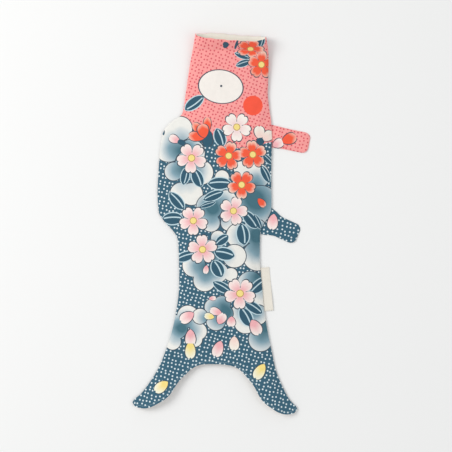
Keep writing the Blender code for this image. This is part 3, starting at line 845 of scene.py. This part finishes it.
CUT_LINES = (54.0 * MM, -122.0 * MM)  # across the body, where the panels are cut into pieces


def refined(grid):
    """A grid of points with a smooth point put between each two, both ways."""
    for axis in (0, 1):
        grid = np.moveaxis(grid, axis, 0)
        middle = (grid[:-1] + grid[1:]) / 2
        middle[1:-1] = (9 * (grid[1:-2] + grid[2:-1]) - grid[:-3] - grid[3:]) / 16
        fine = np.zeros((2 * len(grid) - 1, *grid.shape[1:]))
        fine[::2], fine[1::2] = grid, middle
        grid = np.moveaxis(fine, 0, axis)
    return grid


def waves(points, seed):
    """Soft unevenness of a lying cloth, the same each time, from -1 to 1."""
    x, y = points[..., 0] * 1000, points[..., 1] * 1000
    total = np.zeros_like(x)
    for k in range(7):
        turn, long = seed * 1.7 + k * 2.399, 95.0 / (1 + 0.55 * k)
        along = x * math.cos(turn) + y * math.sin(turn)
        total += np.sin(along * math.tau / long + seed * 3 + k * 1.3) / (1 + 0.6 * k)
    return total / 2.6


def sewn_panel(points, flat, side, seams, hem, settings):
    """Adds gathers along the seams, soft waves and the turned hem to one panel's grid of points."""
    shape = points.shape
    quads = quads_of(np.arange(shape[0] * shape[1]).reshape(shape[:2]), side < 0)
    normals = vertex_normals(points.reshape(-1, 3), quads).reshape(shape)
    places = flat.reshape(-1, 2)
    gather = np.zeros(len(places))
    close = np.full(len(places), 1e9)
    for line, phase in seams:
        away, along = nearest_on(line, places)
        along, away = along / MM, away / MM
        close = np.minimum(close, away)
        wander = np.sin(along / 37.0 + phase) * 1.9 + np.sin(along / 15.0 + 2 * phase) * 0.7
        ridge = np.sin(along * math.tau / 8.7 + wander) * (0.65 + 0.35 * np.sin(along / 23.0 + phase * 3))
        gather += ridge * np.exp(-away / 7.5) * np.clip(away / 1.6, 0, 1)
    hem_away, hem_along = nearest_on(hem, places)
    calm = np.clip(close / 22.0, 0, 1)
    rise = gather * settings.pucker + waves(points, 1.0 if side > 0 else 2.0).ravel() * calm * settings.ripple
    turned = np.clip((settings.hem - hem_away) / (0.5 * MM), 0, 1) * 0.25 * MM
    scallop = np.sin(hem_along / MM * math.tau / 11.0) * np.exp(-hem_away / (6 * MM)) * 0.35 * MM
    if side < 0:
        rise = rise * 0.4
    rise = rise + turned + scallop
    moved = points + normals * rise.reshape(shape[:2])[..., None]
    return moved, np.stack([hem_along, hem_away], axis=1).reshape(*shape[:2], 2)


def flat_size(points):
    """Width, length and area of a cut piece lying flat."""
    wide, long = points.reshape(-1, 2).max(axis=0) - points.reshape(-1, 2).min(axis=0)
    a, b, c, d = points[:-1, :-1], points[:-1, 1:], points[1:, 1:], points[1:, :-1]
    p, q = c - a, d - b
    return float(wide), float(long), float(np.abs(p[..., 0] * q[..., 1] - p[..., 1] * q[..., 0]).sum() / 2)


class STREAMER_OT_panels(bpy.types.Operator):
    """Sew the two printed panels and split them where the body can bend"""

    bl_idname = "streamer.panels"
    bl_label = "Panels"

    def execute(self, context):
        settings, look = context.scene.streamer_cloth, context.scene.streamer_print
        tube = Tube(settings.columns)
        points = tube.points
        points = tube.settle(tube.blown_up(settings.loft))
        printed, reverse = body_print(look), plain_cloth("cotton_reverse", tuple(look.reverse))
        hem = tube.flat[tube.front[0]]
        seams = [(tube.flat[tube.front[:, 0]], 0.4), (tube.flat[tube.front[:, -1]], 1.9)]
        panels = []
        for side, grid in ((1, tube.front), (-1, tube.back)):
            flat = refined(tube.flat[grid])
            panels.append((flat, *sewn_panel(refined(points[grid]), flat, side, seams, hem, settings)))
        fullness = self.part_plies(panels[0][1], panels[1][1], settings.ply)
        for side, label, panel in ((1, "front", panels[0]), (-1, "back", panels[1])):
            self.split(label, side, *panel, fullness, printed, reverse, settings)
        return {"FINISHED"}

    def part_plies(self, front, back, ply):
        """Keeps the panels off the table and each other, and gives how full the cloth is near its seams."""
        columns = front.shape[1]
        from_seam = np.minimum(np.arange(columns), columns - 1 - np.arange(columns))
        fullness = np.tile(np.clip(from_seam / 4, 0, 1), (front.shape[0], 1))
        for surface in (front, back):
            surface[..., 2] = np.maximum(surface[..., 2], TABLE_GAP * MM)
        short = np.maximum(2.15 * ply * fullness - (front[..., 2] - back[..., 2]), 0)
        lowered = np.minimum(short / 2, back[..., 2] - TABLE_GAP * MM)
        back[..., 2] -= lowered
        front[..., 2] += short - lowered
        return fullness

    def split(self, label, side, flat, surface, hem_uv, fullness, printed, reverse, settings):
        """Makes each stretch its own piece."""
        row_y = flat[:, flat.shape[1] // 2, 1]
        first, second = (int(np.argmin(abs(row_y - y))) for y in CUT_LINES)
        middle = flat.shape[1] // 2
        last = flat.shape[0] - 1
        tail, lobe = HINGE_Y["tail_bend"], HINGE_Y["dorsal_lobe_bend"]
        # For each piece: the two bodies, and where along the body its bend starts and ends
        bend = {
            "upper": ("head", "trunk", 0.166, 0.134),
            "lower": ("trunk", "tail", tail + 0.017, tail - 0.017),
            "dorsal_lobe": ("tail", "dorsal_lobe", lobe + 0.001, lobe - 0.03),
            "belly_lobe": ("tail", "belly_lobe", lobe + 0.001, lobe - 0.03),
        }
        stretches = {
            "upper": (first, last, 0, None, ["head", "trunk"]),
            "lower": (second, first, 0, None, ["tail"]),
            "dorsal_lobe": (0, second, 0, middle, ["dorsal_lobe"]),
            "belly_lobe": (0, second, middle, None, ["belly_lobe"]),
        }
        for name, (low, high, left, right, nodes) in stretches.items():
            rows = slice(low, high + 1)
            columns = slice(left, None if right is None else right + 1)
            part, cut = surface[rows, columns], flat[rows, columns]
            index = np.arange(part.shape[0] * part.shape[1]).reshape(part.shape[:2])
            uv = {"cut": cut.reshape(-1, 2), "hem": hem_uv[rows, columns].reshape(-1, 2)}
            quads = quads_of(index, side < 0).tolist()
            piece = mesh_object(f"{label}_cloth_{name}", part.reshape(-1, 3), quads, [printed, reverse], uv)
            sharpen_border(piece)
            shell(piece, settings.ply, fullness=fullness[rows, columns].ravel())
            stood_for = [f"{label}_panel_{node}" for node in nodes]
            if label == "front":
                stood_for += SEAMS[name]
            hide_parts(*stood_for)
            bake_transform(piece)
            wide, long, area = flat_size(cut)


SEAMS = {
    "upper": ["dorsal_seam_head", "belly_seam_head", "dorsal_seam_trunk", "belly_seam_trunk"],
    "lower": ["dorsal_seam_tail", "belly_seam_tail"],
    "dorsal_lobe": ["dorsal_lobe_seam"],
    "belly_lobe": ["belly_lobe_seam"],
}


def sharpen_border(piece):
    """Marks the open border sharp, so that the thin rim doesn't darken the face of the cloth."""
    mesh = bmesh.new()
    mesh.from_mesh(piece.data)
    for edge in mesh.edges:
        if edge.is_boundary:
            edge.smooth = False
    mesh.to_mesh(piece.data)
    mesh.free()


class STREAMER_OT_mouth(bpy.types.Operator):
    """Turn the casing over at the mouth, face it with tape, and stitch it round the hoop"""

    bl_idname = "streamer.mouth"
    bl_label = "Mouth casing"

    def execute(self, context):
        settings, look = context.scene.streamer_cloth, context.scene.streamer_print
        around = [(2 * k / settings.columns - 1, True) for k in range(settings.columns)]
        around += [(1 - 2 * k / settings.columns, False) for k in range(settings.columns)]
        fine = []
        for (u, upper), (after, _) in zip(around, around[1:] + around[:1]):
            fine += [(u, upper), ((u + after) / 2, upper)]
        outer = [CASING + (RIM - CASING) * k / 10 for k in range(11)]
        cloth = self.band(fine, [(y, 0.0) for y in outer], 0.7)
        cloth += self.roll(fine, 3)
        printed, reverse = bpy.data.materials["printed_cotton"], bpy.data.materials["cotton_reverse"]
        casing = self.lofted("casing_cloth", cloth, [printed, reverse], settings.ply)
        self.lay(casing, ["casing_stitch"], (0.2, 0.026))
        levels = [(RIM + 0.5, 0.7), (RIM + 0.3, 1.6), (RIM - 0.8, 2.8), (RIM - 2.5, 3.8)]
        levels += [(RIM - 4.5 - (RIM - CASING - 2.0) * k / 8, TAPE_INSET) for k in range(9)]
        tape = [plain_cloth("facing_tape", tuple(look.ivory))]
        facing = self.lofted("casing_facing", self.band(fine, levels, 0.0), tape, TAPE_PLY * MM, 0)
        self.lay(facing, ["casing_tape"], (0.2, 0.0245))
        self.stitches(look)
        self.dress("mouth_hoop", metal_finish("spring_wire", (0.6, 0.6, 0.62)))
        self.dress("hoop_sleeve", metal_finish("crimped_brass", (0.7, 0.52, 0.3)))
        return {"FINISHED"}

    def dress(self, name, finish):
        node = frame["nodes"][name]
        node.data.materials.clear()
        node.data.materials.append(finish)

    def band(self, around, levels, swell):
        """Rings of points round the mouth, each at a place along the body and an inset from the outside."""
        rings = []
        for y, inset in levels:
            share = (y - CASING) / (RIM - CASING)
            ring = []
            for k, (u, upper) in enumerate(around):
                point = section_point(y, u, upper, inset)
                out = swell * math.sin(math.pi * min(1, max(0, share))) * (1 if upper else 0.2) * bulge(u)
                wander = (0.35 * math.sin(k * 0.41) + 0.25 * math.sin(k * 0.13 + 1)) * max(0.0, share)
                gather = 0.28 * math.sin(k * 1.35 + math.sin(k * 0.3) * 2) * math.exp(-abs(share) * 5)
                point.z += (out + gather * (1 if upper else 0.3)) * (1 if upper else -1) if inset == 0 else 0
                point.y += wander
                point.z = max(point.z, 0.05 + inset * 0.5)
                ring.append(point)
            rings.append(ring)
        return rings

    def roll(self, around, steps):
        """The turned edge, from the outer face over to the tape."""
        rings = []
        last = self.band(around, [(RIM, 0.0)], 0.0)[0]
        inside = self.band(around, [(RIM - 0.6, 1.9)], 0.0)[0]
        for k in range(1, steps + 1):
            turn = math.pi * k / steps / 2
            ring = []
            for a, b in zip(last, inside):
                point = a + (b - a) * (1 - math.cos(turn))
                point.y += 0.8 * math.sin(turn * 2)
                ring.append(point)
            rings.append(ring)
        return rings

    def lofted(self, name, rings, materials, thickness, inner=1):
        count = len(rings[0])
        points = np.array([p for ring in rings for p in ring]) * MM
        index = np.arange(len(points)).reshape(len(rings), count)
        index = np.hstack([index, index[:, :1]])
        quads = quads_of(index)
        uv = {"cut": points[:, :2], "hem": np.full((len(points), 2), 0.05)}
        made = mesh_object(name, points, quads.tolist(), materials, uv)
        sharpen_border(made)
        return shell(made, thickness, inner)

    def lay(self, piece, nodes, flat):
        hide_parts(*nodes)
        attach(piece, "head")

    def stitches(self, look):
        """Short stitches round the casing, on the outer face."""
        curve = bpy.data.curves.new("casing_stitches", "CURVE")
        curve.dimensions, curve.bevel_depth, curve.bevel_resolution = "3D", 0.24 * MM, 1
        curve.use_fill_caps = True
        for upper in (True, False):
            line = [section_point(CASING + 1.2, -0.97 + 1.94 * k / 240, upper) for k in range(241)]
            run, start = 0.0, 0
            for k in range(1, len(line)):
                run += (line[k] - line[k - 1]).length
                if run > 3.2:
                    ends = [line[start], line[start].lerp(line[k], 0.4), line[start].lerp(line[k], 0.78)]
                    spline = curve.splines.new("POLY")
                    spline.points.add(2)
                    for knot, point, up in zip(spline.points, ends, (0.05, 0.3, 0.05)):
                        raised = point.z + (up if upper else -up * 0.2)
                        knot.co = (point.x * MM, point.y * MM, max(raised, 0.3) * MM, 1.0)
                    run, start = 0.0, k
        made = bpy.data.objects.new("casing_stitches", curve)
        bpy.context.scene.collection.objects.link(made)
        curve.materials.append(thread_finish("coral_thread", tuple(look.thread)))
        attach(made, "head")


def belly_stretch(top, bottom):
    """The two ends of a stretch of the belly seam, and the directions along it and out of it."""
    high, low = Vector((belly(top), top)), Vector((belly(bottom), bottom))
    along = (high - low).normalized()
    return high, low, along, Vector((along.y, -along.x))


def flap(piece, held, loose, top, bottom, reach):
    """Takes the piece's place into its mesh. The two bodies and the reach from the belly seam are not used.
    """
    high, low, _, out = belly_stretch(top, bottom)
    start = ((high + low) / 2 + OFFSET.xy) * MM
    end = start + out * reach
    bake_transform(piece)


# Each fin: its root's two ends along the belly, its length, its width and its droop in degrees
FINS = {
    "pectoral_fin": (133.0, 103.0, 51.0, 27.5, -9.0),
    "pelvic_fin": (22.5, -12.0, 47.0, 27.0, -22.0),
}
FIN_PETALS = {
    "pectoral_fin": [(72, 110, 91, 119, 8.2, 4), (60, 104.5, 74.5, 111.5, 7, 1)],
    "pelvic_fin": [(66, 15, 63.8, -6.5, 8, 1)],
}


FIN_CELLS = (40, 22)


class STREAMER_OT_fins(bpy.types.Operator):
    """Sew the two fins, each of two plies, and set them in the belly seam"""

    bl_idname = "streamer.fins"
    bl_label = "Fins"

    def execute(self, context):
        fins, look = context.scene.streamer_fins, context.scene.streamer_print
        grounds = {
            "pectoral_fin": ("coral_fin_cotton", look, look.coral, look.coral_dot, 4.9, 1.1),
            "pelvic_fin": ("blue_fin_cotton", look, look.blue, look.blue_dot, 5.5, 1.1),
        }
        for name, pattern in FINS.items():
            printed = fin_print(*grounds[name], FIN_PETALS[name])
            for side, label in ((1, "front"), (-1, "back")):
                self.ply(name, label, side, pattern, printed, fins)
        return {"FINISHED"}

    def ply_points(self, side, pattern, fins):
        """The points of one ply in rows from its root, their places on the cut cloth, and its fullness."""
        top, bottom, long, wide, droop = pattern
        high, low, root, _ = belly_stretch(top, bottom)
        aim = Vector((math.cos(math.radians(droop)), math.sin(math.radians(droop))))
        across = Vector((-aim.y, aim.x))
        middle = (high + low) / 2
        half_root, corner = (high - low).length / 2, 8.0
        rows, columns = FIN_CELLS
        points, cut, fullness = [], [], []
        rest = SEAM_HALF * 0.85
        tuck = fins.tuck / MM
        for i in range(rows + 1):
            share = i / rows
            reach = (long + tuck) * (1 - (1 - share) ** 1.25) - tuck
            flare = min(1.0, max(0.0, reach / 20.0))
            flare = flare * flare * (3 - 2 * flare)
            half = half_root * (1 - flare) + wide / 2 * flare
            if reach > long - corner:
                near = (reach - (long - corner)) / corner
                half = wide / 2 - corner + corner * math.sqrt(max(0.0, 1 - near**2))
            direction = (root * (1 - flare) + across * flare).normalized()
            for j in range(columns + 1):
                s = math.sin((2 * j / columns - 1) * math.pi / 2)
                flat = middle + aim * reach + direction * half * s
                edge_share = min(1 - abs(s), (1 - share) * 2.2)
                free = min(1.0, max(0.0, reach / 12.0))
                puff = fins.puff / MM * min(1.0, edge_share * 3.2) ** 0.5 * free
                ridge = math.sin(reach * 0.62 + 2.0 * s) * 0.22 * abs(s) ** 3
                wave = 0.5 * math.sin(reach / 13.0 + s) * share
                full = min(1.0, edge_share * 7)
                z = rest + side * (0.06 + 0.26 * full + puff * (0.8 if side > 0 else 0.55)) + ridge + wave
                fullness.append(round(full, 1))
                points.append(Vector((flat.x, flat.y, max(TABLE_GAP, z))) + Vector((OFFSET.x, OFFSET.y, 0)))
                cut.append((flat.x + OFFSET.x, flat.y + OFFSET.y))
        return np.array(points) * MM, np.array(cut) * MM, np.array(fullness)

    def ply(self, name, label, side, pattern, printed, fins):
        points, cut, fullness = self.ply_points(side, pattern, fins)
        index = np.arange(len(points)).reshape([cells + 1 for cells in FIN_CELLS])
        quads = quads_of(index, side > 0).tolist()
        materials = [printed, bpy.data.materials["cotton_reverse"]]
        piece = mesh_object(f"{name}_{label}_cloth", points, quads, materials, {"cut": cut})
        sharpen_border(piece)
        shell(piece, FIN_PLY * MM, fullness=fullness)
        nodes = [f"{name}_{label}_ply"] + ([f"{name}_seam"] if side > 0 else [])
        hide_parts(*nodes)
        flap(piece, "trunk", name, *pattern[:2], fins.root)
        width, reach, area = flat_size(cut[index])


LABEL_TOP, LABEL_LENGTH, LABEL_WIDTH = -57.5, 57.0, 12.6  # once folded, the width


class STREAMER_OT_label(bpy.types.Operator):
    """Fold the blank tape label and catch it in the belly seam"""

    bl_idname = "streamer.label"
    bl_label = "Side label"

    def execute(self, context):
        look = context.scene.streamer_print
        bottom = LABEL_TOP - LABEL_LENGTH
        high, low, _, out = belly_stretch(LABEL_TOP, bottom)
        fold = 0.45
        steps = [k / 14 for k in range(15)]
        turns = [math.radians(-80 + 160 * k / 6) for k in range(7)]
        reach = LABEL_WIDTH - fold
        profile = [(reach * s, -fold) for s in steps]
        profile += [(reach + fold * math.cos(t), fold * math.sin(t)) for t in turns]
        profile += [(reach * s, fold) for s in steps[::-1]]
        rows, points, cut, sides = 40, [], [], []
        for i in range(rows + 1):
            place = i / rows
            run = 0.0
            for k, (away, up) in enumerate(profile):
                if k:
                    run += math.hypot(away - profile[k - 1][0], up - profile[k - 1][1])
                flat = low.lerp(high, place) + out * (away - 0.6)
                squeeze = min(1.0, away / 3.0)
                lift = 0.55 * math.sin(place * 5.3 + 0.6) * (away / reach) ** 2
                z = SEAM_HALF * 0.9 + up * (0.25 + 0.75 * squeeze) + lift
                points.append((flat.x + OFFSET.x, flat.y + OFFSET.y, max(TABLE_GAP + LABEL_PLY / 2, z)))
                cut.append((away, place * LABEL_LENGTH))
                sides.append((run, min(place, 1 - place) * LABEL_LENGTH))
        index = np.arange(len(points)).reshape(rows + 1, len(profile))
        quads = quads_of(index)
        uv = {"cut": np.array(cut) * MM, "hem": np.array(sides) * MM}
        piece = mesh_object("label_tape", np.array(points) * MM, quads.tolist(), [label_cloth(look)], uv)
        sharpen_border(piece)
        shell(piece, LABEL_PLY * MM, 0, 0.0)
        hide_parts("side_label")
        flap(piece, "tail", "side_label_body", LABEL_TOP, bottom, 3.0 * MM)
        return {"FINISHED"}


class STREAMER_OT_stage(bpy.types.Operator):
    """Set the table, the soft lights and the camera over it"""

    bl_idname = "streamer.stage"
    bl_label = "Table, lights and camera"

    def execute(self, context):
        stage, scene = context.scene.streamer_stage, context.scene
        bpy.ops.mesh.primitive_plane_add(size=14.0, location=(0, 0, 0))
        table = context.object
        table.name = "table_top"
        d = Drawing("table_paint")
        where = d.node("ShaderNodeTexCoord", {}, out=3)
        mottle = d.node("ShaderNodeTexNoise", {}, Vector=where, Scale=3.0, Detail=2.0)
        shade = d.over(mottle, tuple(stage.floor), tuple(c * 0.985 for c in stage.floor))
        d.finish(Base_Color=shade, Roughness=0.9, Specular_IOR_Level=0.1)
        table.data.materials.append(d.material)
        self.light("key", (-1.5, 0.5, 1.5), 1.3, stage.key)
        self.light("side", (1.6, -0.6, 1.8), 1.8, stage.key * 0.3)
        scene.world = bpy.data.worlds.new("room")
        scene.world.use_nodes = True
        room = scene.world.node_tree.nodes["Background"]
        room.inputs["Color"].default_value = (0.97, 0.985, 1.0, 1.0)
        room.inputs["Strength"].default_value = stage.fill
        camera = bpy.data.cameras.new("camera")
        camera.sensor_width = 36.0
        camera.lens = 36.0 * stage.distance / stage.view_width
        holder = bpy.data.objects.new("camera", camera)
        holder.location = (0.0031, -0.0053, stage.distance)
        holder.rotation_euler = (0, 0, stage.lean)
        scene.collection.objects.link(holder)
        scene.camera = holder
        scene.view_settings.view_transform = "Standard"
        return {"FINISHED"}

    def light(self, name, place, size, power):
        lamp = bpy.data.lights.new(name, "AREA")
        lamp.shape, lamp.size, lamp.energy = "DISK", size, power
        lamp.color = (1.0, 0.985, 0.965)
        made = bpy.data.objects.new(name, lamp)
        made.location = place
        made.rotation_euler = (-Vector(place)).to_track_quat("-Z", "Y").to_euler()
        bpy.context.scene.collection.objects.link(made)


class STREAMER_PT_sidebar(bpy.types.Panel):
    """The streamer's pieces and settings"""

    bl_label = "Carp Streamer"
    bl_idname = "STREAMER_PT_sidebar"
    bl_space_type = "VIEW_3D"
    bl_region_type = "UI"
    bl_category = "Streamer"

    def draw(self, context):
        for operator, settings in STEPS:
            box = self.layout.box()
            box.operator(operator.bl_idname)
            if settings:
                group = getattr(context.scene, settings)
                for key in group.bl_rna.properties.keys():
                    if key not in ("rna_type", "name"):
                        box.prop(group, key)


STEPS = [
    (STREAMER_OT_panels, "streamer_cloth"),
    (STREAMER_OT_mouth, "streamer_print"),
    (STREAMER_OT_fins, "streamer_fins"),
    (STREAMER_OT_label, None),
    (STREAMER_OT_stage, "streamer_stage"),
]
GROUPS = {
    "streamer_cloth": StreamerClothSettings,
    "streamer_print": StreamerPrintSettings,
    "streamer_fins": StreamerFinSettings,
    "streamer_stage": StreamerStageSettings,
}


def register():
    for kind in [*GROUPS.values(), *(operator for operator, _ in STEPS), STREAMER_PT_sidebar]:
        bpy.utils.register_class(kind)
    for name, kind in GROUPS.items():
        setattr(bpy.types.Scene, name, PointerProperty(type=kind))


def unregister():
    for name in GROUPS:
        delattr(bpy.types.Scene, name)
    for kind in [STREAMER_PT_sidebar, *(operator for operator, _ in STEPS[::-1]), *GROUPS.values()]:
        bpy.utils.unregister_class(kind)


def main():
    register()
    bpy.ops.streamer.panels()
    bpy.ops.streamer.mouth()
    bpy.ops.streamer.fins()
    bpy.ops.streamer.label()
    bpy.ops.streamer.stage()
    bpy.context.view_layer.update()


if __name__ == "__main__":
    main()
